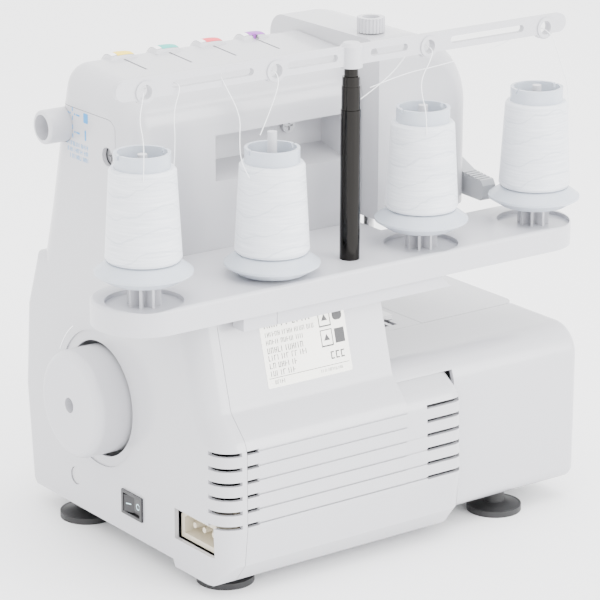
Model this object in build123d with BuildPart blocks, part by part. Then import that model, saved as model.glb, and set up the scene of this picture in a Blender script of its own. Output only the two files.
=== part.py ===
from build123d import *
import os
from math import cos, degrees, pi, radians, sin, tan

# Serger overlock machine with its thread stand. Millimetres.
# X points to the handwheel, Y to the thread stand behind the machine, Z up.
# The origin is on the table, under the middle of the machine's outline.

os.makedirs("parts", exist_ok=True)

# ---------------------------------------------------------------- casing sizes
wall = 2.6                 # moulded wall of the covers
seam = 0.3                 # gap between neighbouring covers
gap = 0.5                  # free space round things that move
side_x = 108.0             # outer face on the handwheel side
seam_x = 92.0              # where the side cover meets the rear covers
neck_x = -51.0             # where the arm ends and the head begins
head_left_x = -119.5
head_rear_y = 32.5
head_bottom_z = 172.5
top_z = 268.0              # top of the arm and head behind the dials
arm_rear_y = 17.0
ledge_z = 155.0            # shelf behind the arm that carries the thread stand
column_left_x = -17.5
bulge_left_x = -60.0
bed_left_x = -154.0
bed_rear_y = 93.0
bed_top_z = 106.0
bed_front_y = -96.0
base_z = 12.0              # underside of the covers above the table
door_front_y = -106.0

upper_points = [(-81.5, 150), (-71, 187), (-58, 242), (-50, 270), (arm_rear_y, 265.5), (arm_rear_y, 150)]
upper_rounds = [((arm_rear_y, 265.5), 26), ((-50, 270), 8)]
lower_points = [(-84, base_z), (-91, 18), (-96, 72), (-92, 122), (-80.3, ledge_z), (76, ledge_z),
                (90.5, 103), (105.5, 88), (106, 40), (103.5, 19), (95, 8), (60, 8), (58, base_z)]
lower_rounds = [((105.5, 88), 14), ((90.5, 103), 10), ((76, ledge_z), 4)]
bulge_points = [(58, 8), (58, 98), (84, 101), (104, 88), (106, 40), (103.5, 19), (95, 8)]
bulge_rounds = [((84, 101), 20), ((104, 88), 12)]

# ---------------------------------------------------------------- drive sizes
shaft_y = -15.6
shaft_z = 84.0
shaft_r = 4.0
running = 0.05             # radial clearance of a shaft in its bearing
wheel_r = 30.8
wheel_face_x = 127.5
motor_y = 58.0
motor_z = 44.0
motor_r = 21.0
belt_x = 76.0
belt_width = 6.0
big_pulley_r = 26.0
small_pulley_r = 9.0

# ---------------------------------------------------------------- stitch parts
needle_x = -64.0
needle_y = -10.0
needle_pitch = 2.2
presser_y = 8.0
plate_z = bed_top_z
foot_lift = 6.0
needle_bar_r = 3.0
presser_bar_r = 3.0

# ---------------------------------------------------------------- controls
dial_pitch = 30.0
dial_xs = [72.0 - dial_pitch * i for i in range(4)]
dial_r = 15.0
dial_width = 9.0
knob_y = -47.0
knob_z = 236.0
knob_in = 100.5            # inner end of the release knob
knob_r = 9.6
knob_out = 14.0
switch_y = 18.2
switch_z = 30.7
switch_length = 20.5
switch_height = 14.2
inlet_y = 78.0
inlet_z = 33.6
inlet_length = 36.0
inlet_height = 17.0

# ---------------------------------------------------------------- thread stand
tray_half = 158.5
tray_y0 = 38.0
tray_y1 = 94.0
tray_r = 27.0
tray_z0 = ledge_z
tray_z1 = 169.0
pin_y = 72.0
mast_y = 73.5
pin_xs = [134.1, 51.4, -51.4, -134.1]
pin_r = 2.6
pin_top_z = 248.0
spool_lift = [10.0, 1.5, 8.0, 8.0]
spool_height = 69.0
flange_r = 26.2
mast_r = 5.6
mast_middle_r = 4.9
mast_rod_r = 3.9
mast_slip = 0.08
bar_z = 283.0
bar_half = 151.7
bar_height = 10.6
bar_thickness = 3.4
ring_xs = [134.0, 51.5, -52.0, -136.0]
ring_z = 281.4
ring_r = 6.6
ring_hole_r = 3.9
thread_d = 0.5


def write(piece, name):
    """Label a finished sub-part and store it under its node name."""
    piece.part.label = name
    export_step(piece.part, "parts/" + name + ".step")


def outline(points, rounds=(), inset=0.0):
    """Draw a closed outline in the current sketch, round its named corners, and shrink it."""
    Polygon(*points, align=None)
    sketch = BuildSketch._get_context()
    for corner, radius in rounds:
        nearest = sketch.vertices().sort_by_distance(Vector(*corner))[0]
        fillet(nearest, radius)
    if inset:
        offset(amount=-inset)


def edges_of(face, keep):
    """The edges of a face whose middle points pass the given test."""
    return [edge for edge in face.edges() if keep(edge.center())]


def block(x0, x1, y0, y1, z0, z1, mode=Mode.ADD):
    """Add or cut a box given by its limits."""
    with Locations(((x0 + x1) / 2, (y0 + y1) / 2, (z0 + z1) / 2)):
        Box(x1 - x0, y1 - y0, z1 - z0, mode=mode)


def rod_x(y, z, x0, x1, radius, mode=Mode.ADD):
    """Add or cut a cylinder that runs along X."""
    with Locations(Location(((x0 + x1) / 2, y, z), (0, 90, 0))):
        Cylinder(radius, x1 - x0, mode=mode)


def rod_y(x, z, y0, y1, radius, mode=Mode.ADD):
    """Add or cut a cylinder that runs along Y."""
    with Locations(Location((x, (y0 + y1) / 2, z), (90, 0, 0))):
        Cylinder(radius, y1 - y0, mode=mode)


def rod_z(x, y, z0, z1, radius, mode=Mode.ADD):
    """Add or cut a cylinder that runs along Z."""
    with Locations((x, y, (z0 + z1) / 2)):
        Cylinder(radius, z1 - z0, mode=mode)


def plane_at(x, y, z):
    """An upright plane through a point, facing the front."""
    return Plane(origin=(x, y, z), x_dir=(1, 0, 0), z_dir=(0, -1, 0))


# ---------------------------------------------------------------- casing forms
# The covers are cut from shared outer forms, so that they line up at their seams.
with BuildPart() as outer_form:
    with BuildSketch(Plane.YZ.offset(column_left_x)):
        outline(lower_points, lower_rounds)
    extrude(amount=side_x - column_left_x)
    with BuildSketch(Plane.YZ.offset(neck_x)):
        outline(upper_points, upper_rounds)
    extrude(amount=side_x - neck_x)
    end = outer_form.faces().sort_by(Axis.X)[-1]
    fillet(edges_of(end, lambda c: c.Z > ledge_z + 2 and (c.Y > 0 or c.Z > 262)), 16)
    end = outer_form.faces().sort_by(Axis.X)[-1]
    fillet(edges_of(end, lambda c: c.Y > 74 and 25 < c.Z < ledge_z + 1), 13)
    end = outer_form.faces().sort_by(Axis.X)[-1]
    fillet(edges_of(end, lambda c: c.Y < -50 and c.Z > 25), 5)

with BuildPart() as upper_cavity:
    with BuildSketch(Plane.YZ.offset(neck_x - 1)):
        outline(upper_points, upper_rounds, wall)
    extrude(amount=side_x - wall - neck_x + 1)
    end = upper_cavity.faces().sort_by(Axis.X)[-1]
    fillet(edges_of(end, lambda c: c.Z > ledge_z + 2 and (c.Y > 0 or c.Z > 262)), 13)

with BuildPart() as lower_cavity:
    with BuildSketch(Plane.YZ.offset(column_left_x + wall)):
        outline(lower_points, lower_rounds, wall)
    extrude(amount=side_x - 2 * wall - column_left_x)
    end = lower_cavity.faces().sort_by(Axis.X)[-1]
    fillet(edges_of(end, lambda c: c.Y > 74 and 25 < c.Z < ledge_z), 10)

with BuildPart() as casing:
    add(outer_form.part)
    add(upper_cavity.part, mode=Mode.SUBTRACT)
    add(lower_cavity.part, mode=Mode.SUBTRACT)
    # the arm opens into the column, the column into the bed, and the underside to the base pan
    block(column_left_x + wall, side_x - 2 * wall, -76, 13.5, 146, 160, Mode.SUBTRACT)
    block(column_left_x - 2, column_left_x + 5, -78, 56, 0, 102, Mode.SUBTRACT)
    block(column_left_x - 2, 104, -80.5, 57.8, 0, 16, Mode.SUBTRACT)
    block(column_left_x - 2, 104, 57, 64, 11.2, 16, Mode.SUBTRACT)

side_seam_y = 4.8          # where the side cover meets the arm cover, above the tray
side_top_z = 247.5
side_region_points = [(-200, -5), (200, -5), (200, ledge_z - seam), (side_seam_y, ledge_z - seam),
                      (side_seam_y, side_top_z), (-200, side_top_z)]
with BuildPart() as side_region:
    with BuildSketch(Plane.YZ.offset(seam_x)):
        outline(side_region_points, [((side_seam_y, side_top_z), 6)])
    extrude(amount=60)

with BuildPart() as side_region_with_gap:
    with BuildSketch(Plane.YZ.offset(seam_x - seam)):
        outline(side_region_points, [((side_seam_y, side_top_z), 6)], -seam)
    extrude(amount=60)

front_seam_y = -62.0       # the front cover lies in front of this plane
front_top_z = 224.0
waist_z = 149.7            # the arm cover lies above this height, the motor cover below it
with BuildPart() as bulge:
    with BuildSketch(Plane.YZ.offset(bulge_left_x)):
        outline(bulge_points, bulge_rounds)
    extrude(amount=column_left_x - bulge_left_x + 4)
    end = bulge.faces().sort_by(Axis.X)[0]
    fillet(edges_of(end, lambda c: c.Y > 60 and c.Z > 10), 9)

with BuildPart() as bulge_cavity:
    with BuildSketch(Plane.YZ.offset(bulge_left_x + wall)):
        outline(bulge_points, bulge_rounds, wall)
    extrude(amount=column_left_x - bulge_left_x + 4)
    end = bulge_cavity.faces().sort_by(Axis.X)[0]
    fillet(edges_of(end, lambda c: c.Y > 63 and c.Z > 12), 6.5)

# ---------------------------------------------------------------- side cover
louver_zs = [41.8 + 8.25 * i for i in range(6)]
louver_height = 2.2
opening_r = wheel_r + 2.6
with BuildPart() as side_cover:
    add(casing.part)
    add(side_region.part, mode=Mode.INTERSECT)
    # shallow dish round the handwheel, and the opening it turns in
    rod_x(shaft_y, shaft_z, side_x - 0.9, side_x + 1, wheel_r + 8.5, Mode.SUBTRACT)
    rod_x(shaft_y, shaft_z, side_x - 8, side_x + 1, opening_r, Mode.SUBTRACT)
    # switch cut-out, inlet pocket, release knob bore, screw holes
    with BuildSketch(Plane.YZ.offset(side_x + 1)):
        with Locations((switch_y, switch_z)):
            Rectangle(switch_length - 1.4, switch_height - 1.4)
        with Locations((inlet_y, inlet_z)):
            Rectangle(inlet_length + 0.7, inlet_height + 0.7)
        with Locations((knob_y, knob_z)):
            Circle(knob_r + 0.4)
        with Locations((-2.4, 226.7), (-41.5, 29.9)):
            Circle(5.2)
    extrude(amount=-24, mode=Mode.SUBTRACT)
    # open louvers round the rear corner
    for z in louver_zs:
        block(side_x - 13, side_x + 13, 92, 122, z, z + louver_height, Mode.SUBTRACT)
write(side_cover, "side_cover")

# ---------------------------------------------------------------- arm cover
grip_x0 = -39.0
grip_x1 = 50.0
grip_z0 = 207.7
grip_z1 = 234.0
grip_depth = 22.0
slit_width = 1.5
with BuildPart() as arm_cover:
    add(casing.part)
    block(-60, 120, front_seam_y + seam / 2, 120, waist_z + seam / 2, 300, Mode.INTERSECT)
    add(side_region_with_gap.part, mode=Mode.SUBTRACT)
    # moulded pocket to grip the machine by
    block(grip_x0 - 2.2, grip_x1 + 2.2, arm_rear_y - grip_depth - 2.2, arm_rear_y,
          grip_z0 - 2.2, grip_z1 + 2.2)
    with BuildSketch(Plane.YZ.offset(grip_x0)):
        Polygon((arm_rear_y + 1, grip_z0 - 0.2), (arm_rear_y + 1, grip_z1),
                (arm_rear_y - grip_depth, grip_z1), (arm_rear_y - grip_depth, grip_z0 + 6), align=None)
    extrude(amount=grip_x1 - grip_x0, mode=Mode.SUBTRACT)
    # thread slits in the top, and the windows of the tension dials
    for x in dial_xs:
        block(x - slit_width / 2, x + slit_width / 2, -42, -17, 255, 280, Mode.SUBTRACT)
        block(x - 7 - dial_width / 2 - gap, x - 7 + dial_width / 2 + gap, -72, -46, 229.5, 262.5,
              Mode.SUBTRACT)
    # bore of the screw in the grip pocket
    rod_y(-14, 226.5, arm_rear_y - grip_depth - 4, arm_rear_y - grip_depth + 1, 2.0, Mode.SUBTRACT)
write(arm_cover, "arm_cover")

# ---------------------------------------------------------------- front cover
with BuildPart() as front_cover:
    add(casing.part)
    block(-60, 120, -200, front_seam_y - seam / 2, 0, front_top_z, Mode.INTERSECT)
    add(side_region_with_gap.part, mode=Mode.SUBTRACT)
    # access to the loopers behind the door
    block(-30, 84, -120, -70, 27, 98, Mode.SUBTRACT)
write(front_cover, "front_cover")

# ---------------------------------------------------------------- motor cover
with BuildPart() as motor_cover:
    add(casing.part)
    block(-60, 120, front_seam_y + seam / 2, 200, 0, waist_z - seam / 2, Mode.INTERSECT)
    add(side_region_with_gap.part, mode=Mode.SUBTRACT)
    add(bulge.part)
    add(bulge_cavity.part, mode=Mode.SUBTRACT)
    for z in louver_zs:
        # the ends of each louver are open, and the middle is a shallow groove
        block(84, 97, 99, 122, z, z + louver_height, Mode.SUBTRACT)
        block(bulge_left_x + 4, bulge_left_x + 28, 99, 122, z, z + louver_height, Mode.SUBTRACT)
        block(bulge_left_x + 27, 85, 104.6, 122, z + 0.6, z + 1.6, Mode.SUBTRACT)
    rod_z(85, 75, 0, 16, 6.6, Mode.SUBTRACT)
write(motor_cover, "motor_cover")

# ---------------------------------------------------------------- bed cover
plate_left_x = -82.5       # the cloth plate lies left of this line
work_x = -40.5             # right edge of the opening for the needle plate and knives
work_rear_y = 36.3
bed_points = [(bed_front_y, base_z), (bed_front_y, bed_top_z), (bed_rear_y, bed_top_z), (bed_rear_y, base_z)]
bed_rounds = [((bed_rear_y, bed_top_z), 18), ((bed_rear_y, base_z), 8), ((bed_front_y, bed_top_z), 6),
              ((bed_front_y, base_z), 6)]
with BuildPart() as bed_cavity:
    with BuildSketch(Plane.YZ.offset(bed_left_x + wall)):
        outline(bed_points, bed_rounds, wall)
    extrude(amount=column_left_x - bed_left_x)
    end = bed_cavity.faces().sort_by(Axis.X)[0]
    fillet(end.edges(), 2.4)

with BuildPart() as bed_cover:
    with BuildSketch(Plane.YZ.offset(bed_left_x)):
        outline(bed_points, bed_rounds)
    extrude(amount=column_left_x - seam - bed_left_x)
    end = bed_cover.faces().sort_by(Axis.X)[0]
    fillet(end.edges(), 5)
    add(bed_cavity.part, mode=Mode.SUBTRACT)
    block(bed_left_x + 6, 0, -88, 86, 0, 16, Mode.SUBTRACT)
    block(-146, 0, -120, -88, 27, 98, Mode.SUBTRACT)
    block(bed_left_x - 2, plate_left_x, -120, work_rear_y, bed_top_z - 2.9, 120, Mode.SUBTRACT)
    block(plate_left_x - 1, work_x, -60.3, work_rear_y, 95, 120, Mode.SUBTRACT)
    # room for the motor cover's bulge
    with BuildSketch(Plane.YZ.offset(bulge_left_x - seam)):
        outline(bulge_points, bulge_rounds, -seam)
    extrude(amount=60, mode=Mode.SUBTRACT)
    # bore of the stitch length dial
    rod_x(30, 60, bed_left_x - 1, bed_left_x + 5, 4.5, Mode.SUBTRACT)
write(bed_cover, "bed_cover")

# ---------------------------------------------------------------- head cover
head_front_y = -72.0
head_points = [(head_left_x, head_bottom_z), (head_left_x, 276), (neck_x - seam, 276), (neck_x - seam, head_bottom_z)]
head_rounds = [((head_left_x, 276), 44)]
with BuildPart() as head_cavity:
    with BuildSketch(Plane.XZ.offset(-(head_rear_y - wall))):
        outline(head_points, head_rounds, wall)
    extrude(amount=head_rear_y - head_front_y - 2 * wall)
    end = head_cavity.faces().sort_by(Axis.Y)[-1]
    fillet(edges_of(end, lambda c: c.X < -55 and c.Z > 180), 9)
    end = head_cavity.faces().sort_by(Axis.Y)[0]
    fillet(edges_of(end, lambda c: c.X < -55 and c.Z > 180), 9)

lever_y = 0.0
lever_z = 190.0
with BuildPart() as head_cover:
    with BuildSketch(Plane.XZ.offset(-head_rear_y)):
        outline(head_points, head_rounds)
    extrude(amount=head_rear_y - head_front_y)
    end = head_cover.faces().sort_by(Axis.Y)[-1]
    fillet(edges_of(end, lambda c: c.X < -52 and c.Z > 174), 12)
    end = head_cover.faces().sort_by(Axis.Y)[0]
    fillet(edges_of(end, lambda c: c.X < -52 and c.Z > 174), 12)
    add(head_cavity.part, mode=Mode.SUBTRACT)
    block(head_left_x + wall, neck_x - wall, -69, 29.5, 160, 180, Mode.SUBTRACT)
    block(neck_x - 6, neck_x + 1, -60, 13, 180, 252, Mode.SUBTRACT)
    rod_z(needle_x, presser_y, 268, 280, 3.2, Mode.SUBTRACT)
    rod_x(lever_y, lever_z, head_left_x - 1, head_left_x + wall + 1, 3.8, Mode.SUBTRACT)
write(head_cover, "head_cover")

# ---------------------------------------------------------------- looper door
door_x0 = -146.0
door_x1 = 86.0
hinge_y = -99.0
hinge_z = 21.5
with BuildPart() as looper_door:
    with BuildSketch(Plane.YZ.offset(door_x0)):
        Polygon((-98, 20), (-101, 20.5), (-103.5, 28), (door_front_y, 60), (-105, 92), (-101, 103.0),
                (-97, 103.0), (-98.5, 100.5), (-102.4, 91), (-103.3, 60), (-100.6, 28), (-99, 23.5),
                (-98, 23.5), align=None)
    extrude(amount=door_x1 - door_x0)
    # finger recess that helps to open the door
    block(door_x1 - 22, door_x1 - 8, -108, -104.6, 70, 88, Mode.SUBTRACT)
write(looper_door, "looper_door")

# ---------------------------------------------------------------- plates
swing_x = -145.5           # the cloth plate turns about an upright pin here
swing_y = 27.2
corner_r = 8.5
with BuildPart() as cloth_plate:
    with BuildSketch(Plane.XY.offset(bed_top_z - 2.6)):
        outline([(bed_left_x, bed_front_y), (plate_left_x - seam, bed_front_y),
                 (plate_left_x - seam, swing_y + corner_r), (bed_left_x, swing_y + corner_r)],
                [((bed_left_x, swing_y + corner_r), corner_r), ((bed_left_x, bed_front_y), 5)])
    extrude(amount=2.6)
    rod_z(swing_x, swing_y, bed_top_z - 14, bed_top_z - 2, 3.0)
write(cloth_plate, "cloth_plate")

with BuildPart() as needle_plate:
    block(plate_left_x, -47.3, -60, 36, bed_top_z - 2.6, bed_top_z)
    # needle slot and feed dog slots
    block(needle_x - 4, needle_x + 4, needle_y - 1.2, needle_y + 1.2, 100, 110, Mode.SUBTRACT)
    for x in (needle_x - 4, needle_x + 2):
        block(x - 1.7, x + 1.7, -7, 29, 100, 110, Mode.SUBTRACT)
    # stitch tongue beside the knives
    block(-47.4, -46.6, -8, 6, bed_top_z - 1.4, bed_top_z)
write(needle_plate, "needle_plate")

# ---------------------------------------------------------------- base and frame
feet_at = [(-103, 80), (85, 75), (95, -50), (-103, -60)]
foot_r = 16.0
with BuildPart() as base_pan:
    block(bed_left_x + 6.4, bulge_left_x - 0.8, -87, 85.5, 12.5, 15)
    block(bulge_left_x - 2, 103.4, -77.5, 55.5, 12.5, 15)
    block(column_left_x + 4, 103.4, 54, 85.5, 12.5, 15)
    # slots that let cooling air in under the motor
    for i in range(6):
        block(10 + 8 * i, 14 + 8 * i, 30, 50, 10, 16, Mode.SUBTRACT)
    # holes for the stems of the feet
    for x, y in feet_at:
        rod_z(x, y, 10, 17, 3.2, Mode.SUBTRACT)
write(base_pan, "base_pan")

with BuildPart() as feet:
    for x, y in feet_at:
        rod_z(x, y, 0, 3.6, foot_r)
        with Locations((x, y, 4.6)):
            Cone(foot_r - 1.5, 6.0, 2.0)
        rod_z(x, y, 5, 12.5, 6.0)
        rod_z(x, y, 12, 17.5, 3.0)
write(feet, "feet")

shaft_x0 = -56.0
beam_z0 = 188.0
beam_z1 = 202.0
frame_x0 = -82.0
dial_y = -46.0
dial_z = 246.0
rod_r = 3.0
pivot_r = 2.5
with BuildPart() as main_frame:
    block(-60, 66, -60, 34, 15, 20)
    # three upright plates that carry the shaft, and the wall that joins them
    block(-28, -22, -40, 34, 15, 98)
    block(-12, -4, -40, 8, 15, beam_z1)
    block(58, 66, -40, 10, 15, beam_z1)
    block(-60, 66, 2, 8, 15, 78)
    # beam through the arm, and the block that guides the needle and presser bars
    block(frame_x0, 88, -24, -9, beam_z0, beam_z1)
    block(frame_x0, -54, -20, 18.5, 186, 222)
    block(-74, -54, 14.5, 18.5, 220, 256)
    block(-74, -54, 0, 18.5, 252, 256)
    # lugs that hold the tension rod
    block(84, 88, -52, -10, beam_z0, 252)
    block(-44, -40, -52, -10, beam_z0, 252)
    # pins on which the loopers and the upper knife turn
    rod_y(-52, 60, -9, 3, pivot_r)
    rod_y(-40, 58, -29, 3, pivot_r)
    rod_x(30, 90, -47.5, -27, pivot_r)
    # bores
    rod_x(shaft_y, shaft_z, -40, 80, shaft_r + running, Mode.SUBTRACT)
    rod_z(needle_x, needle_y, 180, 230, needle_bar_r + running, Mode.SUBTRACT)
    rod_z(needle_x, presser_y, 180, 230, presser_bar_r + running, Mode.SUBTRACT)
    rod_z(needle_x, presser_y, 250, 260, pivot_r + running, Mode.SUBTRACT)
    rod_x(lever_y, lever_z, frame_x0 - 1, frame_x0 + 7, 3.0 + running, Mode.SUBTRACT)
    rod_x(dial_y, dial_z, -46, 90, rod_r + 0.01, Mode.SUBTRACT)
write(main_frame, "main_frame")

# ---------------------------------------------------------------- drive
with BuildPart() as main_shaft:
    rod_x(shaft_y, shaft_z, shaft_x0, 118, shaft_r)
    # collars on both sides of a bearing, and the eccentrics that drive the stitch parts
    rod_x(shaft_y, shaft_z, -31.5, -28.4, 6.5)
    rod_x(shaft_y, shaft_z, -21.6, -18.5, 6.5)
    rod_x(shaft_y + 1.6, shaft_z, -18.5, -13, 7)
    rod_x(shaft_y - 1.6, shaft_z, 20, 27, 9)
write(main_shaft, "main_shaft")

with BuildPart() as handwheel:
    with BuildSketch(Plane.XY.offset(shaft_z)):
        Polygon((100, shaft_y + wheel_r), (wheel_face_x, shaft_y + wheel_r), (wheel_face_x, shaft_y),
                (119, shaft_y), (119, shaft_y + shaft_r + 0.02), (98, shaft_y + shaft_r + 0.02),
                (98, shaft_y + 9), (122, shaft_y + 12), (122, shaft_y + wheel_r - 4),
                (100, shaft_y + wheel_r - 3), align=None)
    revolve(axis=Axis((0, shaft_y, shaft_z), (1, 0, 0)))
    rim = [e for e in handwheel.edges() if abs(e.center().X - wheel_face_x) < 0.01]
    fillet(rim, 5)
    rod_x(shaft_y, shaft_z, wheel_face_x - 6, wheel_face_x + 1, 4.4, Mode.SUBTRACT)
write(handwheel, "handwheel")


def pulley_points(x, y, bore, root, flange):
    """Half section of a grooved belt pulley that turns about a line along X."""
    half = belt_width / 2 + 0.4
    return [(x - half - 1.5, y + bore), (x - half - 1.5, y + flange), (x - half, y + flange),
            (x - half, y + root), (x + half, y + root), (x + half, y + flange),
            (x + half + 1.5, y + flange), (x + half + 1.5, y + bore)]


with BuildPart() as shaft_pulley:
    with BuildSketch(Plane.XY.offset(shaft_z)):
        Polygon(*pulley_points(belt_x, shaft_y, shaft_r + 0.02, big_pulley_r, big_pulley_r + 2), align=None)
    revolve(axis=Axis((0, shaft_y, shaft_z), (1, 0, 0)))
    for i in range(5):
        turn = 2 * pi * i / 5
        rod_x(shaft_y + 15 * cos(turn), shaft_z + 15 * sin(turn), belt_x - 6, belt_x + 6, 5, Mode.SUBTRACT)
write(shaft_pulley, "shaft_pulley")

with BuildPart() as motor_pulley:
    with BuildSketch(Plane.XY.offset(motor_z)):
        Polygon(*pulley_points(belt_x, motor_y, 0, small_pulley_r, small_pulley_r + 2), align=None)
    revolve(axis=Axis((0, motor_y, motor_z), (1, 0, 0)))
    # motor shaft and cooling fan
    rod_x(motor_y, motor_z, 4, 80, 2.5)
    rod_x(motor_y, motor_z, 66, 69, 6)
    for i in range(6):
        with Locations(Location((67.5, motor_y, motor_z), (60 * i, 0, 0))):
            with Locations((0, 0, 10)):
                Box(2.5, 1.5, 14)
write(motor_pulley, "motor_pulley")

with BuildPart() as motor:
    rod_x(motor_y, motor_z, 2, 62, motor_r)
    rod_x(motor_y, motor_z, 0, 64, 8)
    block(8, 54, motor_y - 17, motor_y + 17, 15, 30)
    rod_x(motor_y, motor_z, 3.6, 70, 2.5 + running, Mode.SUBTRACT)
    for i in range(8):
        turn = 2 * pi * i / 8
        rod_x(motor_y + 14 * cos(turn), motor_z + 14 * sin(turn), 56, 66, 2.6, Mode.SUBTRACT)
write(motor, "motor")

belt_thickness = 1.8
with BuildPart() as drive_belt:
    with BuildSketch(Plane.YZ.offset(belt_x - belt_width / 2)):
        with Locations((shaft_y, shaft_z)):
            Circle(big_pulley_r + running + belt_thickness)
        with Locations((motor_y, motor_z)):
            Circle(small_pulley_r + running + belt_thickness)
        make_hull()
    extrude(amount=belt_width)
    with BuildSketch(Plane.YZ.offset(belt_x - belt_width / 2)):
        with Locations((shaft_y, shaft_z)):
            Circle(big_pulley_r + running)
        with Locations((motor_y, motor_z)):
            Circle(small_pulley_r + running)
        make_hull()
    extrude(amount=belt_width, mode=Mode.SUBTRACT)
write(drive_belt, "drive_belt")

# ---------------------------------------------------------------- needles and presser foot
needle_tip_z = 118.0
clamp_z = 142.0
bar_top_z = 238.0
needle_r = 0.8
needle_shank_z = 132.0
needle_xs = [needle_x - needle_pitch / 2, needle_x + needle_pitch / 2]
with BuildPart() as needle_bar:
    rod_z(needle_x, needle_y, clamp_z + 6, bar_top_z, needle_bar_r)
    block(needle_x - 4.5, needle_x + 4.5, needle_y - 4, needle_y + 4, clamp_z, clamp_z + 11)
    rod_y(needle_x, clamp_z + 4, needle_y - 8, needle_y - 3.5, 1.8)
    for x in needle_xs:
        rod_z(x, needle_y, clamp_z - 1, clamp_z + 8, needle_r + 0.02, Mode.SUBTRACT)
write(needle_bar, "needle_bar")

with BuildPart() as needles:
    for x in needle_xs:
        rod_z(x, needle_y, needle_shank_z, clamp_z + 7.5, needle_r)
        rod_z(x, needle_y, needle_tip_z + 4, needle_shank_z, 0.45)
        with Locations((x, needle_y, needle_tip_z + 2)):
            Cone(0.1, 0.45, 4)
write(needles, "needles")

foot_z = bed_top_z + 0.35
collar_z = 226.0
with BuildPart() as presser_bar:
    rod_z(needle_x, presser_y, foot_z + 16, bar_top_z, presser_bar_r)
    rod_z(needle_x, presser_y, collar_z, collar_z + 3, 5.5)
write(presser_bar, "presser_bar")

with BuildPart() as presser_foot:
    block(needle_x - 4, needle_x + 4, presser_y - 5, presser_y + 5, foot_z + 8, foot_z + 24)
    block(needle_x - 2, needle_x + 2, presser_y - 3, presser_y + 3, foot_z + 2, foot_z + 10)
    block(needle_x - 9, needle_x + 8, needle_y - 8, presser_y + 12, foot_z, foot_z + 2.6)
    block(needle_x - 4, needle_x + 4, needle_y - 2.5, needle_y + 2.5, foot_z - 1, foot_z + 4, Mode.SUBTRACT)
    rod_z(needle_x, presser_y, foot_z + 15.9, foot_z + 25, presser_bar_r + 0.02, Mode.SUBTRACT)
    with Locations(Location((needle_x, needle_y - 8, foot_z), (35, 0, 0))):
        Box(20, 3, 5, mode=Mode.SUBTRACT)
write(presser_foot, "presser_foot")

spring_z0 = collar_z + 3.6
spring_z1 = 251.4
spring_r = 4.4
with BuildPart() as presser_spring:
    with BuildLine():
        Helix(pitch=(spring_z1 - spring_z0) / 6, height=spring_z1 - spring_z0, radius=spring_r,
              center=(needle_x, presser_y, spring_z0))
    with BuildSketch(Plane(origin=(needle_x + spring_r, presser_y, spring_z0), z_dir=(0, 1, 0))):
        Circle(0.45)
    sweep(is_frenet=True)
write(presser_spring, "presser_spring")

with BuildPart() as lifter_lever:
    with BuildSketch(Plane.YZ.offset(head_left_x - 10.2)):
        Polygon((lever_y - 7, 186), (lever_y - 7, 194), (lever_y - 3, 198), (lever_y + 6, 197),
                (24, 189), (41, 187), (43, 184), (43, 178), (41, 175), (22, 175.5), (6, 182.5),
                (lever_y - 3, 182), align=None)
    extrude(amount=9.4)
    # grip grooves along the top of the lever
    for i in range(5):
        block(head_left_x - 11, head_left_x, 26 + 3 * i, 27.2 + 3 * i, 186.6, 190, Mode.SUBTRACT)
    rod_x(lever_y, lever_z, head_left_x - 1.5, frame_x0 + 6.5, 3.0)
write(lifter_lever, "lifter_lever")

with BuildPart() as pressure_knob:
    rod_z(needle_x, presser_y, 276.6, 285, 8.0)
    rod_z(needle_x, presser_y, 282, 286, 5.0, Mode.SUBTRACT)
    for i in range(24):
        turn = 2 * pi * i / 24
        rod_z(needle_x + 8 * cos(turn), presser_y + 8 * sin(turn), 276, 286, 0.55, Mode.SUBTRACT)
    rod_z(needle_x, presser_y, 253, 277, pivot_r)
write(pressure_knob, "pressure_knob")

# ---------------------------------------------------------------- loopers, knives and feed
with BuildPart() as lower_looper:
    with BuildSketch(Plane.XZ.offset(3.6)):
        Polygon((-54, 58), (-50, 58), (-49.5, 90), (-53, 97), (-61.5, 99.5), (-61.8, 98.3), (-54.6, 94.5),
                (-53, 88), align=None)
    extrude(amount=3)
    rod_y(-52, 60, -6.7, 1.4, 5.0)
    rod_y(-52, 60, -8, 2, pivot_r + running, Mode.SUBTRACT)
write(lower_looper, "lower_looper")

with BuildPart() as upper_looper:
    with BuildSketch(Plane.XZ.offset(23.2)):
        Polygon((-42, 56), (-38, 56), (-36.5, 84), (-41, 93), (-56, 99.5), (-56.4, 98.2), (-43.5, 90.5),
                (-40.5, 84), align=None)
    extrude(amount=3)
    rod_y(-40, 58, -27.5, -20.5, 5.0)
    rod_y(-40, 58, -28, -20, pivot_r + running, Mode.SUBTRACT)
write(upper_looper, "upper_looper")

blade_x = -46.2
with BuildPart() as upper_knife:
    with BuildSketch(Plane.YZ.offset(blade_x)):
        Polygon((33, 86), (33, 94), (28, 97), (2, 104.5), (-10, 108.5), (-10.5, 106.5), (-7, 101.5), (24, 88),
                (28, 85.5), align=None)
    extrude(amount=3)
    rod_x(30, 90, blade_x - 1, blade_x + 12, 5.0)
    rod_x(30, 90, blade_x - 2, blade_x + 13, pivot_r + running, Mode.SUBTRACT)
write(upper_knife, "upper_knife")

with BuildPart() as lower_knife:
    block(blade_x + 3.35, blade_x + 5.2, -14, -4, 90, 105)
    block(blade_x + 3.35, -28, -12, -5, 90, 93)
write(lower_knife, "lower_knife")

with BuildPart() as feed_dogs:
    block(needle_x - 7, needle_x + 5, -3, 20, 96, 100)
    for x in (needle_x - 4, needle_x + 2):
        block(x - 1.1, x + 1.1, -3, 20, 99, 104.6)
        for i in range(11):
            with Locations(Location((x, -2 + 2.1 * i, 104.6), (45, 0, 0))):
                Box(2.2, 1.3, 1.3)
write(feed_dogs, "feed_dogs")

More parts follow.
